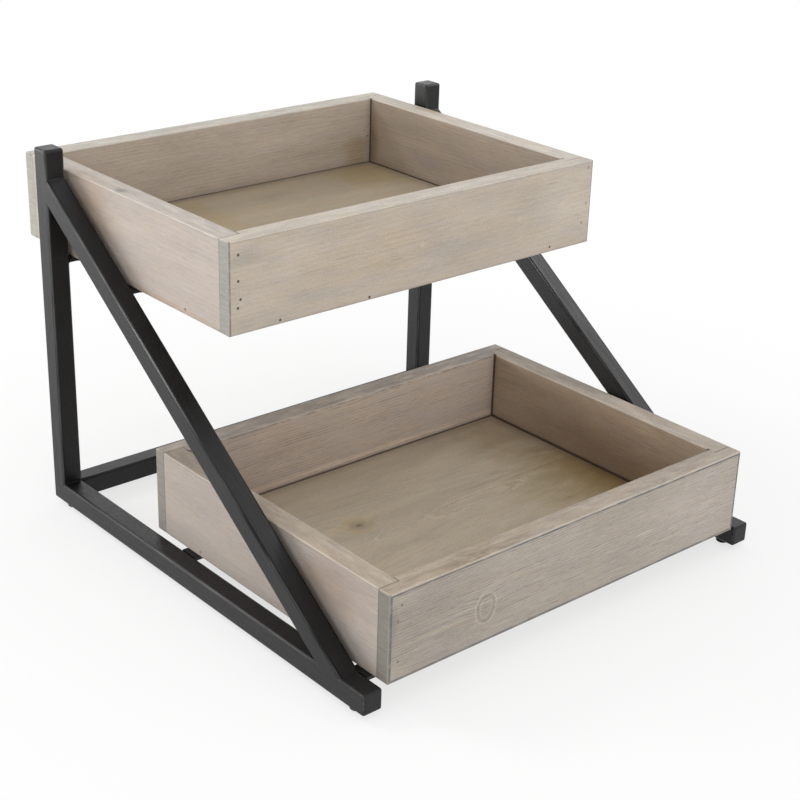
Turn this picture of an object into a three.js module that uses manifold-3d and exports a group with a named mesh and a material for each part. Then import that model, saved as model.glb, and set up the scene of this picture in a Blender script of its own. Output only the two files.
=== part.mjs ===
import * as THREE from 'three';
import { mergeVertices } from 'three/addons/utils/BufferGeometryUtils.js';
import Module from 'manifold-3d';

// Tabletop stand with two open wooden trays, one above and behind the other, on a welded
// frame of square steel tube. Millimetres, +X to the right, +Y to the back, +Z up.
// The origin lies on the table, under the middle of the stand.

const wasm = await Module();
wasm.setup();

// Frame of square tube
const frameWidth = 360;
const frameDepth = 364;
const postHeight = 268;
const tubeSize = 15;
const tubeWall = 1.2;
const tubeCornerRadius = 1.6;
const diagonalTopDrop = 21;
const diagonalToeSetback = 21.5;
const weldGap = 0.3;
const endPlateThickness = 2;
const endPlateEase = 1.2;

// Flat straps that carry the trays
const strapWidth = 15;
const strapThickness = 3;
const strapEdgeRadius = 0.4;
const lowerFrontStrapInset = 15;
const lowerRearStrapInset = 36;
const upperFrontStrapReveal = 2.1;

// Trays, both alike
const traySideGap = 3.5;
const trayDepth = 251;
const trayHeight = 62.5;
const postRiseAboveTray = 17;
const upperTrayRearOverhang = 47;
const boardThickness = 16;
const boardEdgeRadius = 1.2;
const boardEndEase = 0.8;
const rabbetDepth = 6;
const glueGap = 0.2;
const floorThickness = 9;
const floorGap = 0.3;

// Rubber feet under the base rails
const footDiameter = 10;
const footHeight = 4;
const footTaper = 0.6;
const footEdgeRadius = 1.2;
const footEndInset = 15;

// Screws up through the straps into the side boards
const screwHeadDiameter = 7;
const screwHeadHeight = 2.2;
const screwHeadEdgeRadius = 0.9;
const screwShankDiameter = 3.5;
const screwLength = 16;
const screwPointLength = 4;
const strapHoleDiameter = 4.4;
const pilotHoleDiameter = 3.8;
const pilotHoleReserve = 1;

// How far a cutter runs past what it cuts
const overrun = 40;

// Facets of round forms
const cornerFacets = 4;
const easeFacets = 3;
const roundFacets = 28;

// Places that follow from the sizes
const railBottom = footHeight;
const railMiddle = railBottom + tubeSize / 2;
const railTop = railBottom + tubeSize;
const postTop = railBottom + postHeight;
const frameFront = -(frameDepth + upperTrayRearOverhang) / 2;
const frameBack = frameFront + frameDepth;
const postMiddle = frameBack - tubeSize / 2;
const postFront = frameBack - tubeSize;
const sideFrameInside = frameWidth / 2 - tubeSize;
const sideFrameMiddle = frameWidth / 2 - tubeSize / 2;
const trayWidth = 2 * (sideFrameInside - traySideGap);
const sideBoardMiddle = trayWidth / 2 - boardThickness / 2;

const lowerTray = { front: frameFront, bottom: railTop };
const upperTray = {
  front: frameBack + upperTrayRearOverhang - trayDepth,
  bottom: postTop - postRiseAboveTray - trayHeight,
};

// The diagonals' upper edge runs from its toe on the base rail to its head on the post
const toe = { y: frameFront + diagonalToeSetback, z: railTop };
const head = { y: postFront, z: postTop - diagonalTopDrop };
const diagonalLength = Math.hypot(head.y - toe.y, head.z - toe.z);
const diagonalAngle = Math.atan2(head.z - toe.z, head.y - toe.y);
const diagonalReachesUpperTray = toe.y + (upperTray.bottom - toe.z) / Math.tan(diagonalAngle);

const straps = {
  lower_front: {
    tray: lowerTray,
    middle: lowerTray.front + lowerFrontStrapInset + strapWidth / 2,
  },
  lower_rear: {
    tray: lowerTray,
    middle: lowerTray.front + trayDepth - lowerRearStrapInset - strapWidth / 2,
  },
  upper_front: {
    tray: upperTray,
    middle: diagonalReachesUpperTray + upperFrontStrapReveal + strapWidth / 2,
  },
  upper_rear: {
    tray: upperTray,
    middle: postFront + strapWidth / 2,
  },
};

const sides = { left: -1, right: 1 };

const blackCoat = { color: 0x2b2b2c, roughness: 0.42, metalness: 0.1 };
const blackRubber = { color: 0x1f1f1f, roughness: 0.85, metalness: 0 };
const blackSteel = { color: 0x3a3a3b, roughness: 0.4, metalness: 0.8 };
const paleWood = { color: 0xbcaf9f, roughness: 0.75, metalness: 0 };
const paleFloorWood = { color: 0xa89b87, roughness: 0.75, metalness: 0 };
const greyWood = { color: 0xada194, roughness: 0.78, metalness: 0 };
const greyFloorWood = { color: 0x9d907d, roughness: 0.78, metalness: 0 };

const stand = new THREE.Group();
stand.name = 'tiered_display_stand';

function add(name, geometry, finish) {
  const mesh = new THREE.Mesh(geometry, new THREE.MeshStandardMaterial(finish));
  mesh.name = name;
  stand.add(mesh);
}

// Solids from meshes, and back
function toSolid(geometry) {
  const bare = new THREE.BufferGeometry();
  bare.setAttribute('position', geometry.getAttribute('position'));
  bare.setIndex(geometry.getIndex());
  const merged = mergeVertices(bare);
  return new wasm.Manifold(new wasm.Mesh({
    numProp: 3,
    vertProperties: new Float32Array(merged.getAttribute('position').array),
    triVerts: new Uint32Array(merged.getIndex().array),
  }));
}

function toGeometry(solid) {
  const mesh = solid.getMesh();
  const geometry = new THREE.BufferGeometry();
  geometry.setAttribute('position', new THREE.BufferAttribute(mesh.vertProperties, 3));
  geometry.setIndex(new THREE.BufferAttribute(mesh.triVerts, 1));
  geometry.computeVertexNormals();
  return geometry;
}

function cut(geometry, cutters) {
  let solid = toSolid(geometry);
  for (const cutter of cutters) {
    solid = solid.subtract(toSolid(cutter));
  }
  return toGeometry(solid);
}

function keepInside(geometry, space) {
  return toGeometry(toSolid(geometry).intersect(toSolid(space)));
}

// Block from its lowest to its highest corner
function block(low, high) {
  const size = high.map((value, axis) => value - low[axis]);
  const middle = high.map((value, axis) => (value + low[axis]) / 2);
  return new THREE.BoxGeometry(...size).translate(...middle);
}

// A length drawn up the Z axis is turned to run along X or along Y
function alongX(geometry) {
  const width = new THREE.Vector3(0, 1, 0);
  const height = new THREE.Vector3(0, 0, 1);
  const run = new THREE.Vector3(1, 0, 0);
  return geometry.applyMatrix4(new THREE.Matrix4().makeBasis(width, height, run));
}

function alongY(geometry) {
  const width = new THREE.Vector3(0, 0, 1);
  const height = new THREE.Vector3(1, 0, 0);
  const run = new THREE.Vector3(0, 1, 0);
  return geometry.applyMatrix4(new THREE.Matrix4().makeBasis(width, height, run));
}

function roundedRectangle(outline, width, height, radius) {
  const x = width / 2 - radius;
  const y = height / 2 - radius;
  const quarter = Math.PI / 2;
  outline.absarc(x, y, radius, 0, quarter);
  outline.absarc(-x, y, radius, quarter, 2 * quarter);
  outline.absarc(-x, -y, radius, 2 * quarter, 3 * quarter);
  outline.absarc(x, -y, radius, 3 * quarter, 4 * quarter);
  outline.closePath();
  return outline;
}

// Hollow square tube with open ends, from zero up the Z axis
function squareTube(length) {
  const bore = tubeSize - 2 * tubeWall;
  const boreRadius = Math.max(tubeCornerRadius - tubeWall, tubeWall / 2);
  const profile = roundedRectangle(new THREE.Shape(), tubeSize, tubeSize, tubeCornerRadius);
  profile.holes.push(roundedRectangle(new THREE.Path(), bore, bore, boreRadius));
  return new THREE.ExtrudeGeometry(profile, {
    depth: length,
    bevelEnabled: false,
    curveSegments: cornerFacets,
  });
}

// Bar with rounded long edges and square ends, from zero up the Z axis
function roundedBar(width, height, length, edgeRadius) {
  const profile = roundedRectangle(new THREE.Shape(), width, height, edgeRadius);
  return new THREE.ExtrudeGeometry(profile, {
    depth: length,
    bevelEnabled: false,
    curveSegments: easeFacets,
  });
}

// The same bar with its end edges eased too
function easedBar(width, height, length, edgeRadius, endEase) {
  const endWidth = width - 2 * endEase;
  const endHeight = height - 2 * endEase;
  const profile = roundedRectangle(new THREE.Shape(), endWidth, endHeight, edgeRadius - endEase);
  const bar = new THREE.ExtrudeGeometry(profile, {
    depth: length - 2 * endEase,
    bevelEnabled: true,
    bevelSize: endEase,
    bevelThickness: endEase,
    bevelSegments: easeFacets,
    curveSegments: easeFacets,
  });
  return bar.translate(0, 0, endEase);
}

// Round hole with an upright axis
function upright(diameter, x, y, low, high) {
  const radius = diameter / 2;
  const cutter = new THREE.CylinderGeometry(radius, radius, high - low, roundFacets);
  return cutter.rotateX(Math.PI / 2).translate(x, y, (low + high) / 2);
}

// Solid of revolution about the Z axis. Its outline's y becomes height.
function turned(outline) {
  return new THREE.LatheGeometry(outline, roundFacets).rotateX(Math.PI / 2);
}

// Quarter round from a flat end to the side of a turned piece
function roundedRim(outline, radius, edgeRadius, end) {
  for (let step = 0; step <= cornerFacets; step += 1) {
    const turn = (step / cornerFacets) * (Math.PI / 2);
    const x = radius - edgeRadius + Math.sin(turn) * edgeRadius;
    const y = end + edgeRadius - Math.cos(turn) * edgeRadius;
    outline.push(new THREE.Vector2(x, y));
  }
}

// Half space on one side of the mitre through the rear bottom corner of a side frame. The
// mitre rises forward from the corner, with half the weld gap on either side of it.
function mitreWaste(x, above) {
  const reach = frameDepth + postHeight;
  const near = above ? -weldGap / 2 : -reach;
  const far = above ? reach : weldGap / 2;
  const waste = block([-tubeSize, -reach, near], [tubeSize, reach, far]);
  return waste.rotateX(-Math.PI / 4).translate(x, frameBack, railBottom);
}

function baseRail(x) {
  const tube = alongY(squareTube(frameDepth - endPlateThickness));
  tube.translate(x, frameFront + endPlateThickness, railMiddle);
  return cut(tube, [mitreWaste(x, true)]);
}

function post(x) {
  const tube = squareTube(postHeight - endPlateThickness);
  tube.translate(x, postMiddle, railBottom);
  return cut(tube, [mitreWaste(x, false)]);
}

// Slanted tube, cut level where it stands on the rail and upright where it meets the post
function diagonal(x) {
  const run = new THREE.Vector3(0, Math.cos(diagonalAngle), Math.sin(diagonalAngle));
  const below = new THREE.Vector3(0, Math.sin(diagonalAngle), -Math.cos(diagonalAngle));
  const across = new THREE.Vector3(1, 0, 0);
  const tube = squareTube(diagonalLength + 2 * overrun);
  tube.translate(0, tubeSize / 2, -overrun);
  tube.applyMatrix4(new THREE.Matrix4().makeBasis(across, below, run));
  tube.translate(x, toe.y, toe.z);
  const low = [x - tubeSize, frameFront - overrun, railTop + weldGap];
  const high = [x + tubeSize, postFront - weldGap, postTop];
  return keepInside(tube, block(low, high));
}

// Plate that closes the end of a tube, from zero up the Z axis, with its outer edges eased
function endPlate() {
  const length = 2 * endPlateThickness;
  const plate = easedBar(tubeSize, tubeSize, length, tubeCornerRadius, endPlateEase);
  plate.translate(0, 0, endPlateThickness - length);
  return keepInside(plate, block([-tubeSize, -tubeSize, 0], [tubeSize, tubeSize, length]));
}

// Flat bar between the side frames, with a screw hole under each side board
function strap(place) {
  const top = place.tray.bottom;
  const bar = alongX(roundedBar(strapWidth, strapThickness, 2 * sideFrameInside, strapEdgeRadius));
  bar.translate(-sideFrameInside, place.middle, top - strapThickness / 2);
  const holes = Object.values(sides).map((side) => upright(
    strapHoleDiameter, side * sideBoardMiddle, place.middle, top - overrun, top + overrun));
  return cut(bar, holes);
}

// Pan-head screw. Its head bears on the underside of a strap, from zero up the Z axis.
function screw() {
  const headRadius = screwHeadDiameter / 2;
  const shankRadius = screwShankDiameter / 2;
  const outline = [new THREE.Vector2(0, -screwHeadHeight)];
  roundedRim(outline, headRadius, screwHeadEdgeRadius, -screwHeadHeight);
  outline.push(new THREE.Vector2(headRadius, 0));
  outline.push(new THREE.Vector2(shankRadius, 0));
  outline.push(new THREE.Vector2(shankRadius, screwLength - screwPointLength));
  outline.push(new THREE.Vector2(0, screwLength));
  return turned(outline);
}

// Small rubber foot, a little narrower at the table
function foot() {
  const topRadius = footDiameter / 2;
  const outline = [new THREE.Vector2(0, 0)];
  roundedRim(outline, topRadius - footTaper, footEdgeRadius, 0);
  outline.push(new THREE.Vector2(topRadius, footHeight));
  outline.push(new THREE.Vector2(0, footHeight));
  return turned(outline);
}

// Front or back board, as wide as the tray. A rabbet inside each end takes the end of a side
// board, so only part of the board's thickness shows on the tray's side.
function crossBoard(tray, atFront) {
  const bar = alongX(easedBar(boardThickness, trayHeight, trayWidth, boardEdgeRadius, boardEndEase));
  const inward = atFront ? 1 : -1;
  const outside = atFront ? tray.front : tray.front + trayDepth;
  bar.translate(
    -trayWidth / 2,
    outside + inward * boardThickness / 2,
    tray.bottom + trayHeight / 2);
  const rabbets = Object.values(sides).map((side) => {
    const shoulder = trayWidth / 2 - boardThickness - glueGap;
    const rabbet = block(
      [shoulder, boardThickness - rabbetDepth, -overrun],
      [trayWidth / 2 + overrun, boardThickness + overrun, trayHeight + overrun]);
    if (side < 0) {
      rabbet.rotateY(Math.PI).translate(0, 0, trayHeight);
    }
    if (!atFront) {
      rabbet.rotateX(Math.PI).translate(0, 0, trayHeight);
    }
    return rabbet.translate(0, outside, tray.bottom);
  });
  return cut(bar, rabbets);
}

// Side board, its ends in the rabbets of the front and back boards, with a pilot hole over
// each strap
function sideBoard(tray, side) {
  const endInset = boardThickness - rabbetDepth + glueGap;
  const x = side * sideBoardMiddle;
  const board = alongY(
    roundedBar(trayHeight, boardThickness, trayDepth - 2 * endInset, boardEdgeRadius));
  board.translate(x, tray.front + endInset, tray.bottom + trayHeight / 2);
  const holeTop = tray.bottom + screwLength - strapThickness + pilotHoleReserve;
  const carriers = Object.values(straps).filter((place) => place.tray === tray);
  const holes = carriers.map((place) => upright(
    pilotHoleDiameter, x, place.middle, tray.bottom - overrun, holeTop));
  return cut(board, holes);
}

// Floor panel between the boards, with an open seam all round
function floorPanel(tray) {
  const inset = boardThickness + floorGap;
  const low = tray.bottom + floorGap;
  return block(
    [inset - trayWidth / 2, tray.front + inset, low],
    [trayWidth / 2 - inset, tray.front + trayDepth - inset, low + floorThickness]);
}

function addSideFrame(sideName, side) {
  const x = side * sideFrameMiddle;
  add(`${sideName}_base_rail`, baseRail(x), blackCoat);
  add(`${sideName}_post`, post(x), blackCoat);
  add(`${sideName}_diagonal`, diagonal(x), blackCoat);
  const postPlate = endPlate().translate(x, postMiddle, postTop - endPlateThickness);
  add(`${sideName}_post_end_plate`, postPlate, blackCoat);
  const railPlate = endPlate().rotateX(Math.PI / 2);
  railPlate.translate(x, frameFront + endPlateThickness, railMiddle);
  add(`${sideName}_rail_end_plate`, railPlate, blackCoat);
  const frontFoot = foot().translate(x, frameFront + footEndInset, 0);
  add(`${sideName}_front_foot`, frontFoot, blackRubber);
  const rearFoot = foot().translate(x, frameBack - footEndInset, 0);
  add(`${sideName}_rear_foot`, rearFoot, blackRubber);
}

function addCrossRail() {
  const tube = alongX(squareTube(2 * sideFrameInside));
  add('rear_cross_rail', tube.translate(-sideFrameInside, postMiddle, railMiddle), blackCoat);
}

function addStrap(name, place) {
  add(`${name}_strap`, strap(place), blackCoat);
  for (const [sideName, side] of Object.entries(sides)) {
    const seat = place.tray.bottom - strapThickness;
    const fixing = screw().translate(side * sideBoardMiddle, place.middle, seat);
    add(`${name}_${sideName}_screw`, fixing, blackSteel);
  }
}

function addTray(name, tray, boardWood, floorWood) {
  add(`${name}_front_board`, crossBoard(tray, true), boardWood);
  add(`${name}_back_board`, crossBoard(tray, false), boardWood);
  for (const [sideName, side] of Object.entries(sides)) {
    add(`${name}_${sideName}_board`, sideBoard(tray, side), boardWood);
  }
  add(`${name}_floor_panel`, floorPanel(tray), floorWood);
}

for (const [sideName, side] of Object.entries(sides)) {
  addSideFrame(sideName, side);
}
addCrossRail();
for (const [name, place] of Object.entries(straps)) {
  addStrap(name, place);
}
addTray('lower_tray', lowerTray, greyWood, greyFloorWood);
addTray('upper_tray', upperTray, paleWood, paleFloorWood);

export default stand;
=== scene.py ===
import math
from itertools import product

import bmesh
import bpy
from mathutils import Matrix, Vector, noise


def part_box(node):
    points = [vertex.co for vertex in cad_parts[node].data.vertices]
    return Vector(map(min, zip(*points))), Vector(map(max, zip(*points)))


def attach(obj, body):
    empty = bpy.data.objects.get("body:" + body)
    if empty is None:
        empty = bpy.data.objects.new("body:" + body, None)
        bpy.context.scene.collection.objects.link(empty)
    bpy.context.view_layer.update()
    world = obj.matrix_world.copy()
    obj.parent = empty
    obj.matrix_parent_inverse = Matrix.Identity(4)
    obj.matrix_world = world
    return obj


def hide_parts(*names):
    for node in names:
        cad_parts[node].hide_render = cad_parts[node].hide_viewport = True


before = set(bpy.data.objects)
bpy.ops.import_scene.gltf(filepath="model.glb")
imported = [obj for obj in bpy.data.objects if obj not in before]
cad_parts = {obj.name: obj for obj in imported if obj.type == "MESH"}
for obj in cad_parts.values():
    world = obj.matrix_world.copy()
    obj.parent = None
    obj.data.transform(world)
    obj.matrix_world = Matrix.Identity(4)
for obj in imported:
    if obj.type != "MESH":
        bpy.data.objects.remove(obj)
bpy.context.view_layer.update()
print("frame loaded,", len(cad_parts), "nodes")

sides = ("left", "right")
trays = ("lower", "upper")
frontRear = ("front", "rear")


# shader maths: a socket that Python's operators can be used on
class Wire:
    def __init__(self, finish, socket):
        self.finish = finish
        self.socket = socket

    def math(self, operation, *values):
        return self.finish.node("ShaderNodeMath", {"operation": operation}, values)

    def __add__(self, other):
        return self.math("ADD", self, other)

    def __radd__(self, other):
        return self.math("ADD", other, self)

    def __sub__(self, other):
        return self.math("SUBTRACT", self, other)

    def __rsub__(self, other):
        return self.math("SUBTRACT", other, self)

    def __mul__(self, other):
        return self.math("MULTIPLY", self, other)

    def __rmul__(self, other):
        return self.math("MULTIPLY", other, self)

    def __truediv__(self, other):
        return self.math("DIVIDE", self, other)

    def least(self, other):
        return self.math("MINIMUM", self, other)

    def most(self, other):
        return self.math("MAXIMUM", self, other)

    def root(self):
        return self.math("SQRT", self)

    def size(self):
        return self.math("ABSOLUTE", self)

    def bell(self):  # 1 at zero, falling away on both sides
        return self.math("EXPONENT", self * self * -0.5)

    def part(self):
        return self.math("FRACT", self)

    def whole(self):
        return self.math("FLOOR", self)


# the node tree of a material or of the world
class Finish:
    def __init__(self, owner):
        owner.use_nodes = True
        self.owner = owner
        self.tree = owner.node_tree
        self.tree.nodes.clear()

    def node(self, kind, settings=None, values=(), out=0):
        made = self.tree.nodes.new(kind)
        for key, value in (settings or {}).items():
            setattr(made, key, value)
        pairs = values.items() if isinstance(values, dict) else enumerate(values)
        for key, value in pairs:
            if isinstance(value, Wire):
                self.tree.links.new(value.socket, made.inputs[key])
            else:
                made.inputs[key].default_value = value
        return Wire(self, made.outputs[out])

    def place(self, origin=(0, 0, 0)):  # millimetres from the origin, as three wires
        spot = self.node("ShaderNodeTexCoord", out="Object")
        offset = self.node("ShaderNodeVectorMath", {"operation": "SUBTRACT"}, (spot, origin))
        inMm = self.node("ShaderNodeVectorMath", {"operation": "MULTIPLY"}, (offset, (1000, 1000, 1000)))
        split = self.node("ShaderNodeSeparateXYZ", None, (inMm,))
        return [Wire(self, socket) for socket in split.socket.node.outputs]

    def vector(self, x, y, z):
        return self.node("ShaderNodeCombineXYZ", None, (x, y, z))

    def noise(self, spot, detail=2.0, roughness=0.5):
        values = {"Vector": spot, "Scale": 1.0, "Detail": detail, "Roughness": roughness}
        return self.node("ShaderNodeTexNoise", None, values)

    def grain(self, spot, scale, detail=2.0, roughness=0.5):  # noise with spots of about 1 / scale mm
        return self.noise(self.vector(*[wire * scale for wire in spot]), detail, roughness)

    def chance(self, value):  # a random number for each whole value
        return self.node("ShaderNodeTexWhiteNoise", {"noise_dimensions": "1D"}, {"W": value})

    def step(self, value, low, high):
        values = {0: value, 1: low, 2: high, 3: 0.0, 4: 1.0}
        return self.node("ShaderNodeMapRange", {"interpolation_type": "SMOOTHSTEP"}, values)

    def ridge(self, value, at, half):  # a soft line where a value passes a level
        return self.step((value - at).size(), half, half * 0.3)

    def mix(self, mask, first, second, blend="MIX"):
        settings = {"data_type": "RGBA", "blend_type": blend}
        return self.node("ShaderNodeMix", settings, {0: mask, 6: first, 7: second}, out=2)

    def bump(self, height, strength, distance):
        values = {"Height": height, "Strength": strength, "Distance": distance}
        return self.node("ShaderNodeBump", None, values)

    def scaled(self, colour, share):
        return self.node("ShaderNodeVectorMath", {"operation": "SCALE"}, {0: colour, 3: share})

    def seenBy(self, *kinds):  # 1 for rays of these kinds
        seen, *others = [self.node("ShaderNodeLightPath", out=f"Is {kind} Ray") for kind in kinds]
        for ray in others:
            seen = seen.most(ray)
        return seen

    def shader(self, **sockets):
        values = {key.replace("_", " "): value for key, value in sockets.items()}
        return self.node("ShaderNodeBsdfPrincipled", None, values)

    def surface(self, shader, output="ShaderNodeOutputMaterial"):
        end = self.tree.nodes.new(output)
        self.tree.links.new(shader.socket, end.inputs["Surface"])
        return self.owner


def newFinish(name):
    return Finish(bpy.data.materials.new(name))


def paint(red, green, blue):  # a colour as picked on a screen, 0 to 255
    def straight(value):
        share = value / 255
        return share / 12.92 if share <= 0.04045 else ((share + 0.055) / 1.055) ** 2.4
    return (straight(red), straight(green), straight(blue), 1.0)


# frame coat

coatLook = {
    "colour": (10, 10, 11),
    "rubbed": (26, 26, 27),
    "rubbedShare": 0.6,
    # edge: pale lines along the rounded tube edges, partly rubbed wear and partly a painted highlight
    "edge": (96, 96, 97),
    "edgeWearAndHighlightShare": 0.6,
    "edgeGloss": 0.12,
    "roughness": 0.44,
    "roughnessSpread": 0.2,
    "streakSpread": -0.3,
    "specular": 0.33,
    "pebbleSize": 1.1,  # mm
    "pebbleDepth": 0.00028,  # m
    "pebbleShare": 0.12,
    "pebbleGloss": 0.08,
    "handledScale": 0.02,  # per mm, as the streaks' two are
    "streakAcross": 0.7,
    "streakAlong": 0.035,
    "railTop": 19,  # mm, as the places below are
    "postFront": 143.5,
    "tubeMiddle": 172.5,
    "edgeAt": 7.0,
    "edgeFade": (0.55, 0.1),
    "lean": 35.3,  # degrees
}


def powderCoat(name, look, way):
    coat = newFinish(name)
    x, y, z = coat.place()
    if way == "side":  # the side frame's rail runs along y, its post along z and its brace between them
        inRail = coat.step(z, look["railTop"] + 0.5, look["railTop"] - 0.5)
        inPost = coat.step(y, look["postFront"] - 0.5, look["postFront"] + 0.5)
        lean = math.radians(look["lean"])
        upBrace = y * math.cos(lean) + z * math.sin(lean)
        acrossBrace = z * math.cos(lean) - y * math.sin(lean)
        along = inRail * y + (1 - inRail) * (inPost * z + (1 - inPost) * upBrace)
        across = inRail * z + (1 - inRail) * (inPost * y + (1 - inPost) * acrossBrace)
        fromMiddle = (x.size() - look["tubeMiddle"]).size()
    else:
        along, across = x, y + z
        fromMiddle = None
    crosswise, lengthwise = look["streakAcross"], look["streakAlong"]
    pebbles = coat.grain((x, y, z), 1 / look["pebbleSize"], 2.0, 0.6)
    handled = coat.grain((x, y, z), look["handledScale"], 3.0, 0.6)
    streaks = coat.noise(coat.vector(x * crosswise, across * crosswise, along * lengthwise), 3.0, 0.6)
    patches = handled * 0.5 + streaks * 0.5
    rubbed = coat.step(patches, 0.42, 0.68) * look["rubbedShare"] + pebbles * look["pebbleShare"]
    colour = coat.mix(rubbed, paint(*look["colour"]), paint(*look["rubbed"]))
    roughness = look["roughness"] + (handled - 0.5) * look["roughnessSpread"]
    roughness = roughness + (pebbles - 0.5) * look["pebbleGloss"] + (streaks - 0.5) * look["streakSpread"]
    if fromMiddle:  # the long edges of the side frames lie at one distance from the tube's middle
        broken = coat.step(patches, 0.38, 0.6)
        # pale edge lines: rubbed wear and a painted highlight along the rounded edges
        edges = coat.step((fromMiddle - look["edgeAt"]).size(), *look["edgeFade"]) * broken
        colour = coat.mix(edges * look["edgeWearAndHighlightShare"], colour, paint(*look["edge"]))
        roughness = roughness - edges * look["edgeGloss"]
    normal = coat.bump(pebbles, 0.6, look["pebbleDepth"])
    return coat.surface(coat.shader(Base_Color=colour, Roughness=roughness, Normal=normal,
                                    Specular_IOR_Level=look["specular"]))


rubberLook = {
    "colour": (26, 26, 26),
    "dust": (58, 56, 53),
    "dustShare": 0.4,
    "roughness": 0.75,
    "speckleDepth": 0.0001,  # m
    "specular": 0.3,
}


def rubber(name):
    look = rubberLook
    foot = newFinish(name)
    x, y, z = foot.place()
    speckle = foot.grain((x, y, z), 3, 2.0, 0.6)
    dust = foot.step(foot.noise(foot.vector(x * 0.4, y * 0.4, z * 0.8), 3.0, 0.6), 0.45, 0.75)
    colour = foot.mix(dust * look["dustShare"], paint(*look["colour"]), paint(*look["dust"]))
    normal = foot.bump(speckle, 0.5, look["speckleDepth"])
    rough = look["roughness"] + speckle * 0.15
    return foot.surface(foot.shader(Base_Color=colour, Roughness=rough, Normal=normal,
                                    Specular_IOR_Level=look["specular"]))


steelLook = {
    "screw": {"colour": (50, 50, 51), "worn": (84, 84, 85), "roughness": 0.35},
    "upper_brad": {"colour": (112, 106, 99), "worn": (80, 75, 70), "roughness": 0.55, "washed": True},
    "lower_brad": {"colour": (150, 142, 132), "worn": (120, 113, 105), "roughness": 0.55, "washed": True},
}

# the wood's wash fills the heads that lie this many mm to the right
washLook = {"colour": (172, 160, 145), "from": (140, 150), "share": 0.75}


def darkSteel(kind):
    look = steelLook[kind]
    steel = newFinish(kind + "_steel")
    spot = steel.place()
    grit = steel.grain(spot, 2.5, 3.0, 0.6)
    patch = steel.step(steel.grain(spot, 0.5), 0.45, 0.7)
    base = steel.mix(patch * 0.6 + grit * 0.2, paint(*look["colour"]), paint(*look["worn"]))
    metal = 0.8
    if "washed" in look:
        cover = steel.step(spot[0], *washLook["from"]) * washLook["share"]
        base = steel.mix(cover, base, paint(*washLook["colour"]))
        metal = metal - cover
    rough = look["roughness"] + grit * 0.2
    normal = steel.bump(grit, 0.4, 0.00005)
    return steel.surface(steel.shader(Base_Color=base, Metallic=metal, Roughness=rough, Normal=normal))


# wood: growth rings round a pith line, bent round knots, under a thin grey wash

def reachOf(spot, along, across):  # 0 in the spot's middle, 1 at its half size
    a = (along - spot["at"][0]) / spot["half"][0]
    b = (across - spot["at"][1]) / spot["half"][1]
    return (a * a + b * b).root()


def growthRings(wood, streak, along, face, thick, look):
    drift = streak(0, 0.008, 0.03, 3.0, 0.55)
    ripple = streak(0, 0.06, 0.15)
    warp = (drift - 0.5) * look["warp"] + (ripple - 0.5) * look["ripple"]
    pithFace, pithThick = look["pith"]
    tiltFace, tiltThick = look["tilt"]
    offFace = face - pithFace - along * tiltFace + warp
    offThick = thick - pithThick - along * tiltThick
    radius = (offFace * offFace + offThick * offThick).root()
    marks = []
    lumps = streak(0, 0.16, 0.22, 2.0, 0.6)
    for knot in look["knots"]:
        reach = reachOf(knot, along, face) + (ripple - 0.5) * 0.35 + (lumps - 0.5) * knot.get("lumps", 0.0)
        radius = radius + reach.bell() * knot["lift"]
        marks.append((knot, reach))
    count = radius / look["spacing"]
    spread = count.part()
    dashes = streak(4, 0.14, 0.5, 2.0, 0.6)
    late = wood.step(spread, 0.45, 0.82) * wood.step(spread, 1.0, 0.93)
    late = late * (wood.step(dashes, 0.4, 0.6) * 0.8 + 0.2)
    early = wood.step(spread, 0.0, 0.12) * wood.step(spread, 0.4, 0.2)
    weight = wood.chance(count.whole()) * 0.7 + 0.3
    faded = streak(9, 0.012, 0.06, 4.0, 0.6)
    shown = wood.step(faded, 0.34, 0.6) * 0.65 + 0.35
    return late * weight * shown, early * weight * shown, marks


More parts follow.
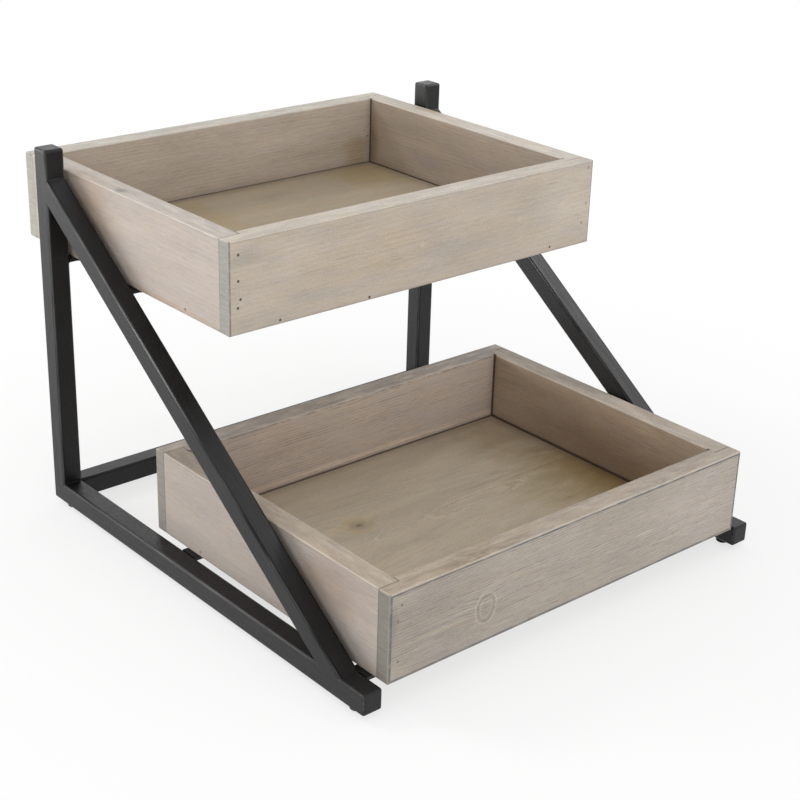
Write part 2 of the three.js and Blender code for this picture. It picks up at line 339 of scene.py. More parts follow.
def woodFinish(name, low, high, grain, look, seed):
    wood = newFinish(name)
    x, y, z = wood.place(low)
    size = (high - low) * 1000
    turns = {
        "x": ((x, z, y), (size.x, size.z, size.y)),
        "y": ((y, z, x), (size.y, size.z, size.x)),
        "flat": ((x, y, z), (size.x, size.y, size.z)),
    }
    (along, face, thick), (length, height, depth) = turns[grain]

    def streak(shift, lengthwise, crosswise, detail=2.0, roughness=0.5):
        spot = wood.vector(along * lengthwise + (seed + shift), face * crosswise, thick * crosswise)
        return wood.noise(spot, detail, roughness)

    def over(mask, key):  # one of the look's colours over what is there already
        return wood.mix(mask, colour, paint(*look[key]))

    # outside, inside and rim; the rim's lighter colour is partly painted top light
    toOutside = depth - thick if look["insideLow"] else thick
    inward = wood.step(toOutside, depth * 0.45, depth * 0.55)
    innerFace = wood.step(toOutside, depth - 1.2, depth - 0.4)
    outerFace = wood.step(toOutside, 1.1, 0.5)
    colour = wood.mix(inward, paint(*look["outside"]), paint(*look["inside"]))
    masks = {"in": inward, "out": 1 - inward}
    if look["rim"]:
        masks["rim"] = wood.step(face, height - 1.3, height - 0.5)
        colour = over(masks["rim"], "rim")
        worn = wood.step(streak(20, 0.05, 0.22, 3.0, 0.65), 0.44, 0.62)
        bare = wood.mix(worn, paint(*look["rimDark"]), paint(*look["pale"]))
        colour = wood.mix(masks["rim"] * look["rimWear"], colour, bare)

    # wash: warm and cool clouds drawn out along the grain
    clouds = streak(0, 0.014, 0.06, 4.0, 0.6)
    tints = streak(3, 0.02, 0.12, 4.0, 0.6)
    hue = wood.mix(wood.step(tints, 0.36, 0.64), look["warm"] + (1,), look["cool"] + (1,))
    colour = wood.mix(look["tinting"], colour, hue, "MULTIPLY")

    # lines along the grain, as shares of the colour's brightness
    late, early, marks = growthRings(wood, streak, along, face, thick, look)
    bands = streak(4, 0.012, 0.42, 3.0, 0.6)
    fibre = streak(5, 0.07, 1.0, 3.0, 0.65)
    hair = streak(6, 0.16, 2.4, 2.0, 0.6)
    mottle = streak(9, 0.7, 1.1, 2.0, 0.6)
    patches = wood.step(streak(7, 0.02, 0.1, 3.0, 0.6), 0.35, 0.65)
    tone = 1 + (clouds - 0.5) * look["clouds"] - late * look["rings"] + early * look["rings"] * 0.45
    tone = tone + (fibre - 0.5) * (patches * 0.6 + 0.6) * look["fibre"] + (hair - 0.5) * look["hair"]
    tone = tone + (bands - 0.5) * look["bands"] + (mottle - 0.5) * look["mottle"]
    fleck = wood.step(streak(8, 0.3, 2.0, 2.0, 0.5), 0.67, 0.76)
    check = wood.step(streak(10, 0.04, 1.3, 2.0, 0.5), 0.69, 0.76)
    tone = tone - fleck * look["flecks"] - check * look["checks"]
    colour = wood.scaled(colour, tone)
    scratch = wood.step(streak(12, 0.03, 0.9, 2.0, 0.5), 0.63, 0.76)
    speck = wood.step(streak(14, 0.25, 0.7, 1.0, 0.5), 0.74, 0.82)
    marked = (scratch * look["scratches"]).most(speck * look["specks"])
    colour = over(marked, "pale")

    # knots, and patches of tint: stains, and one patch of painted light
    uneven = streak(18, 0.08, 0.12, 3.0, 0.6)
    broken = wood.step(uneven, 0.36, 0.56)
    for knot, reach in marks:
        core = wood.step(reach, knot["core"], knot["core"] * 0.4)
        colour = over(wood.step(reach, 1.0, 0.3) * knot["shade"], "knotColour")
        ring = wood.ridge(reach, 0.83, 0.16) * (broken * 0.6 + 0.4)
        colour = over(ring * knot["ring"], "knotColour")
        pale = (wood.ridge(reach, 1.04, 0.12) + wood.ridge(reach, 0.6, 0.12) * 0.5) * (broken * 0.7 + 0.3)
        colour = wood.mix(pale * knot["halo"], colour, paint(*knot.get("haloColour", look["pale"])))
        colour = over(core * knot["dark"], "coreColour")
    wander = streak(16, 0.03, 0.06, 3.0, 0.6)
    for spot in look["tintPatches"]:
        across = thick if spot["on"] == "rim" else face
        reach = reachOf(spot, along, across) + (wander - 0.5) * spot["wander"]
        mask = wood.step(reach, 1.15, 0.15) * masks[spot["on"]]
        colour = wood.mix(mask, colour, spot["tint"] + (1,), "MULTIPLY")

    # end grain
    toEnd = along.least(length - along)
    toFace = face.least(height - face)
    toThick = thick.least(depth - thick)
    if look["end"]:
        layers = wood.noise(wood.vector(along * 0.5 + seed, face * 0.7, thick * 0.1), 3.0, 0.6)
        endTone = 1 + (layers - 0.5) * 0.6 + (hair - 0.5) * 0.2 - late * 0.15
        ends = wood.scaled(paint(*look["end"])[:3], endTone)
        colour = wood.mix(wood.step(toEnd, 0.6, 0.3), colour, ends)

    # edges: rubbed pale, which also paints the edges' highlight, with a thin dark line on the outside
    edge = toFace.most(toThick)
    if not look["butted"]:
        edge = toEnd.least(toFace).most(toEnd.most(toFace).least(toThick))
    # pale edges: rubbed wear and a painted highlight
    rubbed = wood.step(edge + uneven * 0.5, 1.5, 0.7)
    colour = over(rubbed * look["edgeWearAndHighlight"], "pale")
    line = wood.ridge(edge, look["edgeAt"], look["edgeWidth"]) * outerFace * (broken * 0.4 + 0.6)
    colour = over(line * look["edgeLine"], "edgeColour")
    if look["butted"]:
        joint = wood.step(toEnd, 0.7, 0.2) * broken
        colour = over(joint * look["joint"], "dirtAndShade")
    else:
        corner = wood.ridge(toEnd, 0.8, 0.75) * outerFace * (broken * 0.4 + 0.6)
        colour = over(corner * look["cornerLine"], "edgeColour")

    # painted shade beside the seams and inner corners, thin dark lines along the seams, and a painted shadow
    # line under the rim's inner edge
    shade = darkLines = 0
    for direction, at in look["seams"]:
        gap = ({"along": along, "face": face}[direction] - at).size()
        soft = wood.step(gap, look["seamShadeWidth"], 0.0)
        thin = wood.step(gap + (uneven - 0.5) * 0.6, look["seamWidth"], look["seamWidth"] * 0.3)
        shade = soft.most(shade)
        darkLines = thin.most(darkLines)
    # a painted shadow line just under the rim's inner edge
    if look["rimShadowLine"]:
        darkLines = darkLines.most(wood.ridge(height - face, 1.2, 0.8) * broken * look["rimShadowLine"])
    # painted shade beside the seams and inner corners, then the dark lines
    colour = over(shade * innerFace * look["seamShade"], "dirtAndShade")
    colour = over(darkLines * innerFace * look["darkLineShare"], "dirtAndShade")

    relief = (fibre - 0.5) * 0.7 + (hair - 0.5) * 0.5 - late * 0.5 - check - fleck * 0.6
    rough = 0.62 + fibre * 0.2 + (clouds - 0.5) * 0.15
    normal = wood.bump(relief, 0.55, 0.0002)
    return wood.surface(wood.shader(Base_Color=colour, Roughness=rough, Normal=normal,
                                    Specular_IOR_Level=0.3))


# pieces

tubes = []


def addObject(name, data):
    made = bpy.data.objects.new(name, data)
    bpy.context.scene.collection.objects.link(made)
    return made


def addMesh(name, bm):
    mesh = bpy.data.meshes.new(name)
    bm.to_mesh(mesh)
    bm.free()
    return addObject(name, mesh)


def addPiece(name, bm, material, slot, stands=()):
    piece = addMesh(name, bm)
    piece.data.materials.append(material)
    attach(piece, "root")
    if slot == "frame_coat":
        tubes.append(piece)
    if stands:
        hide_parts(*stands)
    return piece


sharpFrom = math.radians(20)
nearby = 0.000002  # points closer than this become one


def sharpEdges(bm):  # those that stand out, not those in a corner
    return [e for e in bm.edges if len(e.link_faces) == 2 and e.calc_face_angle() > sharpFrom and e.is_convex]


def sharpBelow(bm, height):
    return [e for e in sharpEdges(bm) if all(v.co.z < height for v in e.verts)]


def smoothSides(bm):  # the flat ends stay flat
    for face in bm.faces:
        face.smooth = abs(face.normal.z) < 0.99


def roundEdges(bm, edges, radius, segments):
    made = bmesh.ops.bevel(bm, geom=edges, offset=radius, offset_type="OFFSET", segments=segments,
                           profile=0.5, affect="EDGES", material=-1, clamp_overlap=True)
    for face in made["faces"]:
        face.smooth = True


def wholeOf(bm):
    return bm.verts[:] + bm.edges[:] + bm.faces[:]


def cutAway(bm, point, normal):  # takes off what lies on the normal's side, and closes the cut
    bmesh.ops.bisect_plane(bm, geom=wholeOf(bm), dist=nearby, plane_co=point, plane_no=normal,
                           clear_outer=True)
    bmesh.ops.remove_doubles(bm, verts=bm.verts[:], dist=nearby)
    closed = bmesh.ops.edgeloop_fill(bm, edges=[e for e in bm.edges if e.is_boundary])
    for face in closed["faces"]:
        face.smooth = False
    bmesh.ops.recalc_face_normals(bm, faces=bm.faces[:])


def drawOut(bm, face, keep=False):  # the old face goes, unless it closes the other end
    grown = bmesh.ops.extrude_face_region(bm, geom=[face], use_keep_orig=keep)
    if not keep:
        bmesh.ops.delete(bm, geom=[face], context="FACES_ONLY")
    return [f for f in grown["geom"] if isinstance(f, bmesh.types.BMFace)][0]


def prism(outline, low, high):  # an outline of (x, y) drawn up from low to high
    bm = bmesh.new()
    face = bm.faces.new([bm.verts.new((x, y, low)) for x, y in outline])
    grown = bmesh.ops.extrude_face_region(bm, geom=[face], use_keep_orig=True)
    top = [v for v in grown["geom"] if isinstance(v, bmesh.types.BMVert)]
    bmesh.ops.translate(bm, verts=top, vec=(0, 0, high - low))
    bmesh.ops.recalc_face_normals(bm, faces=bm.faces[:])
    return bm


def addCone(bm, sides, bottom, top, height, matrix):  # a round body with these radii at its ends
    bmesh.ops.create_cone(bm, cap_ends=True, segments=sides, radius1=bottom, radius2=top, depth=height,
                          matrix=matrix)


def boxOutline(low, high):
    return [(low.x, low.y), (high.x, low.y), (high.x, high.y), (low.x, high.y)]


def carve(piece, cutters):  # boolean cut with a mesh of closed cutters, applied
    tool = addMesh("cutter", cutters)
    cut = piece.modifiers.new("cut", "BOOLEAN")
    cut.operation = "DIFFERENCE"
    cut.solver = "EXACT"
    cut.object = tool
    bpy.context.view_layer.update()
    solved = piece.evaluated_get(bpy.context.evaluated_depsgraph_get())
    mesh = bpy.data.meshes.new_from_object(solved)
    piece.modifiers.clear()
    piece.data = mesh
    bpy.data.objects.remove(tool)


# welded frame

frameLook = {
    "edgeRadius": 0.0017,
    "edgeSegments": 4,
    "weldInset": 0.6,  # share of the edge radius that a bead stops short
    "weldLeg": 0.0008,
    "crossLeg": 0.00064,
    "strapLeg": 0.00176,
    "strapInset": 0.0006,
    "tackLeg": 0.0014,
    "tackLength": 0.0022,
}

weldLook = {
    "step": 0.0006,
    "root": 0.15,  # of the leg, into the joint
    "arcPoints": 5,
    "hollow": 0.42,
    "taper": 0.35,  # size at the ends
    "rise": 6.6,
    "ripple": 0.03,
    "wave": 1.9,
    "grain": 700,
}


def sideFrame(side, coat):
    postLow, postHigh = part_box(side + "_post")
    railLow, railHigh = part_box(side + "_base_rail")
    braceLow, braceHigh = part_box(side + "_diagonal")
    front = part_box(side + "_rail_end_plate")[0].y
    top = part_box(side + "_post_end_plate")[1].z
    railTop = railHigh.z
    bottom = railLow.z
    postFront = postLow.y
    back = postHigh.y
    tube = railTop - bottom
    slope = (braceHigh.z - braceLow.z) / (braceHigh.y - braceLow.y)
    lean = math.atan(slope)
    toe = braceLow.y - (braceLow.z - railTop) / slope
    head = braceHigh.z + (postFront - braceHigh.y) * slope
    heel = toe + tube / math.sin(lean)
    armpit = head - tube / math.cos(lean)

    spots = {
        "frontBottom": (front, bottom), "frontTop": (front, railTop), "toe": (toe, railTop),
        "heel": (heel, railTop), "inner": (postFront, railTop), "corner": (back, bottom),
        "head": (postFront, head), "armpit": (postFront, armpit), "topFront": (postFront, top),
        "topBack": (back, top),
    }
    whole = bmesh.new()
    corners = {key: whole.verts.new((railLow.x, y, z)) for key, (y, z) in spots.items()}
    panels = (
        ("frontBottom", "frontTop", "toe", "heel", "inner", "corner"),
        ("toe", "heel", "armpit", "head"),
        ("corner", "inner", "armpit", "head", "topFront", "topBack"),
    )
    faces = [whole.faces.new([corners[key] for key in panel]) for panel in panels]
    grown = bmesh.ops.extrude_face_region(whole, geom=faces, use_keep_orig=True)
    moved = [v for v in grown["geom"] if isinstance(v, bmesh.types.BMVert)]
    bmesh.ops.translate(whole, verts=moved, vec=(tube, 0, 0))
    bmesh.ops.recalc_face_normals(whole, faces=whole.faces[:])
    roundEdges(whole, sharpEdges(whole), frameLook["edgeRadius"], frameLook["edgeSegments"])

    # the ground-flush frame is parted again where its tubes meet
    mitre = Vector((0, 1, 1)).normalized()
    cornerPoint = Vector((0, back, bottom))
    above = Vector((0, 0, 1))
    behind = Vector((0, 1, 0))
    rail = whole.copy()
    cutAway(rail, cornerPoint, mitre)
    cutAway(rail, braceLow, above)
    addPiece(side + "_rail_tube", rail, coat, "frame_coat",
             (side + "_base_rail", side + "_rail_end_plate"))
    post = whole.copy()
    cutAway(post, cornerPoint, -mitre)
    cutAway(post, braceHigh, -behind)
    addPiece(side + "_post_tube", post, coat, "frame_coat", (side + "_post", side + "_post_end_plate"))
    cutAway(whole, braceLow, -above)
    cutAway(whole, braceHigh, behind)
    addPiece(side + "_diagonal_tube", whole, coat, "frame_coat", (side + "_diagonal",))

    # welds across the joints
    welds = bmesh.new()
    inset = frameLook["edgeRadius"] * frameLook["weldInset"]
    left = railLow.x + inset
    right = railHigh.x - inset
    run = Vector((0, math.cos(lean), math.sin(lean)))
    forward = Vector((0, -1, 0))
    joints = (
        (head, postFront, above, -run),
        (armpit, postFront, -above, -run),
        (railTop, toe, forward, run),
        (railTop, heel, behind, run),
        (railTop, postFront, forward, above),
    )
    for z, y, first, second in joints:
        weldBead(welds, Vector((left, y, z)), Vector((right, y, z)), first, second, frameLook["weldLeg"])
    inner, inwards = (right, -1) if side == "left" else (left, 1)
    tackEnd = inner + inwards * frameLook["tackLength"]
    weldBead(welds, Vector((inner, toe, railTop)), Vector((tackEnd, toe, railTop)), forward, run,
             frameLook["tackLeg"])
    addPiece(side + "_frame_welds", welds, coat, "frame_coat")


def weldBead(bm, start, end, first, second, leg):  # a rippled fillet in the corner between two faces
    look = weldLook
    length = (end - start).length
    line = (end - start).normalized()
    steps = max(8, round(length / look["step"]))
    ring = [start - (first + second) * leg * look["root"]]
    for k in range(look["arcPoints"]):
        turn = k / (look["arcPoints"] - 1)
        bow = 1 - look["hollow"] * math.sin(turn * math.pi)
        ring.append(start + (first * (1 - turn) + second * turn) * leg * bow)
    sizes = []
    for k in range(steps + 1):
        taper = min(1, look["taper"] + look["rise"] * min(k, steps - k) / steps)
        wave = 0.5 * math.sin(k * look["wave"]) + noise.noise(start * look["grain"] + line * k * 0.35)
        sizes.append(taper * (1 + look["ripple"] * wave))
    tip = bm.faces.new([bm.verts.new(spot) for spot in ring])
    scaleTo(bm, tip.verts, start, sizes[0])
    for k in range(steps):
        tip = drawOut(bm, tip, k == 0)
        bmesh.ops.translate(bm, verts=tip.verts[:], vec=line * length / steps)
        scaleTo(bm, tip.verts, start + line * length * (k + 1) / steps, sizes[k + 1] / sizes[k])
    for face in bm.faces:
        face.smooth = True
    bmesh.ops.recalc_face_normals(bm, faces=bm.faces[:])


def scaleTo(bm, verts, centre, factor):
    bmesh.ops.scale(bm, verts=list(verts), vec=(factor, factor, factor), space=Matrix.Translation(-centre))


def crossRail(coat):
    low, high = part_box("rear_cross_rail")
    bm = prism(boxOutline(low, high), low.z, high.z)
    long = [e for e in sharpEdges(bm) if abs(e.verts[0].co.x - e.verts[1].co.x) > (high.x - low.x) / 2]
    roundEdges(bm, long, frameLook["edgeRadius"], frameLook["edgeSegments"])
    addPiece("rear_cross_tube", bm, coat, "frame_coat", ("rear_cross_rail",))
    welds = bmesh.new()
    inset = frameLook["edgeRadius"] * frameLook["weldInset"]
    for x, inwards in ((low.x, Vector((1, 0, 0))), (high.x, Vector((-1, 0, 0)))):
        spots = (
            (Vector((x, low.y, low.z + inset)), Vector((x, low.y, high.z - inset)), Vector((0, -1, 0))),
            (Vector((x, low.y + inset, high.z)), Vector((x, high.y - inset, high.z)), Vector((0, 0, 1))),
        )
        for start, end, out in spots:
            weldBead(welds, start, end, inwards, out, frameLook["crossLeg"])
    addPiece("rear_cross_welds", welds, coat, "frame_coat")


def strapWelds(coat):
    welds = bmesh.new()
    inset = frameLook["strapInset"]
    for tray, end in product(trays, frontRear):
        name = f"{tray}_{end}_strap"
        low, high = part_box(name)
        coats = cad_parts[name].data.materials
        coats.clear()
        coats.append(coat)
        for x, inwards in ((low.x, 1), (high.x, -1)):
            start, stop = Vector((x, low.y + inset, low.z)), Vector((x, high.y - inset, low.z))
            weldBead(welds, start, stop, Vector((inwards, 0, 0)), Vector((0, 0, -1)),
                     frameLook["strapLeg"])
    addPiece("strap_welds", welds, coat, "frame_coat")


# feet and screws

footLook = {"sides": 48, "taper": 0.0005, "edge": 0.001, "edgeSegments": 4}


def feet(material):
    for side, end in product(sides, frontRear):
        name = f"{side}_{end}_foot"
        low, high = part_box(name)
        radius = (high.x - low.x) / 2
        middle = (low + high) / 2
        bm = bmesh.new()
        addCone(bm, footLook["sides"], radius - footLook["taper"], radius, high.z - low.z,
                Matrix.Translation(middle))
        roundEdges(bm, sharpBelow(bm, middle.z), footLook["edge"], footLook["edgeSegments"])
        smoothSides(bm)
        addPiece(f"{side}_{end}_bumper", bm, material, "foot_rubber", (name,))


screwLook = {
    "sides": 40,
    "headHeight": 0.0022,
    "headEdge": 0.0009,
    "edgeSegments": 4,
    "shank": 0.00175,
    "point": 0.004,
    "tip": 0.1,  # of the shank's width
    "slotWidth": 0.0011,
    "slotLength": 0.0038,
    "slotDepth": 0.0012,
    "slotTurn": 20,  # degrees
}


def screws(material):
    look = screwLook
    for tray, end, side in product(trays, frontRear, sides):
        low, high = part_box(f"{tray}_{end}_{side}_screw")
        radius = (high.x - low.x) / 2
        middle = (low + high) / 2
        spot = Vector((middle.x, middle.y, low.z + look["headHeight"] / 2))
        bm = bmesh.new()
        addCone(bm, look["sides"], radius, radius, look["headHeight"], Matrix.Translation(spot))
        roundEdges(bm, sharpBelow(bm, spot.z), look["headEdge"], look["edgeSegments"])
        seat = max(bm.faces, key=lambda f: f.calc_center_median().z)
        bmesh.ops.inset_region(bm, faces=[seat], thickness=radius - look["shank"])
        shank = high.z - low.z - look["headHeight"] - look["point"]
        for rise, narrow in ((shank, 1), (look["point"], look["tip"])):
            seat = drawOut(bm, seat)
            bmesh.ops.translate(bm, verts=seat.verts[:], vec=(0, 0, rise))
            scaleTo(bm, seat.verts, seat.calc_center_median(), narrow)
        bmesh.ops.recalc_face_normals(bm, faces=bm.faces[:])
        smoothSides(bm)
        piece = addPiece(f"{tray}_{end}_{side}_pan_screw", bm, material, "screw_steel",
                         (f"{tray}_{end}_{side}_screw",))
        long, wide = look["slotLength"] / 2, look["slotWidth"] / 2
        cross = []
        for quarter in range(4):
            turn = Matrix.Rotation(math.radians(look["slotTurn"] + quarter * 90), 2)
            for corner in ((long, -wide), (long, wide), (wide, wide)):
                cross.append(turn @ Vector(corner) + middle.xy)
        carve(piece, prism(cross, low.z - look["slotDepth"], low.z + look["slotDepth"]))


# trays

boardLook = {
    "edgeRadius": 0.0011,
    "floorEdge": 0.4,  # share of that radius
    "edgeSegments": 3,
    "slice": 0.0045,
    "sanding": 0.2,
    "sandWaves": (30, 110),  # per metre
    "sandLeast": 0.35,
    "sandReach": 1.05,
    "glueGap": 0.0002,
    "brad": 0.00093,
    "bradSides": 12,
    "bradSink": 0.00015,
    "bradHole": 0.001,
    "bradHoleTop": -0.001,
    "bradHoleDepth": 0.0005,
    "seedStep": 31.7,
    "seedUpper": 170.3,
}

woodLook = {
    "outside": (184, 174, 160),
    "inside": (178, 165, 150),
    # rim: the top face's colour, lighter partly as painted top light
    "rim": (197, 188, 177),
    "rimDark": (150, 143, 136),
    "rimWear": 0.22,
    "end": (160, 157, 149),
    "pale": (206, 197, 183),
    "edgeColour": (98, 96, 95),
    "knotColour": (120, 105, 90),
    "coreColour": (84, 70, 58),
    # dirt and shade: colour of the dark joints, the dark lines and the painted shade by the seams
    "dirtAndShade": (62, 55, 48),
    "warm": (1.05, 1.0, 0.93),
    "cool": (0.95, 0.985, 1.03),
    "tinting": 0.42,
    "pith": (-70, 9),  # mm across the face and through the board, from its low corner
    "tilt": (0.01, 0.0),
    "warp": 8,
    "ripple": 1.2,
    "spacing": 2.3,
    "rings": 0.16,
    "clouds": 0.35,
    "bands": 0.12,
    "fibre": 0.36,
    "hair": 0.28,
    "mottle": 0.22,
    "flecks": 0.25,
    "checks": 0.3,
    "scratches": 0.3,
    "specks": 0.5,
    "edgeLine": 0.25,
    "edgeAt": 1.1,  # mm from the edge
    "edgeWidth": 0.6,
    "cornerLine": 0.7,
    "edgeWearAndHighlight": 0.3,
    "joint": 0.0,
    # the seams' thin dark lines, and the painted shade beside them
    "seamWidth": 0.9,  # mm
    "darkLineShare": 0.75,
    "seamShadeWidth": 7.0,
    "seamShade": 0.16,
    "rimShadowLine": 0.0,
    "knots": [],
    "tintPatches": [],
}


def tintPatch(on, at, half, tint, wander=1.3):  # middle and half size in mm, and how far its outline wanders
    return {"on": on, "at": at, "half": half, "tint": tint, "wander": wander}


def knot(at, half, lift, core, **marks):  # how far it lifts the rings, and how strong each mark is
    marks = {"dark": 0.0, "shade": 0.0, "ring": 0.1, **marks}
    return {"at": at, "half": half, "lift": lift, "core": core, **marks}


# the floor sheets show no rim, no end grain and no pale edges of wear and painted highlight
sheetLook = {
    "rim": None, "end": None, "cornerLine": 0.0, "edgeLine": 0.0, "edgeWearAndHighlight": 0.0,
    "checks": 0.1, "seamShadeWidth": 12,
}

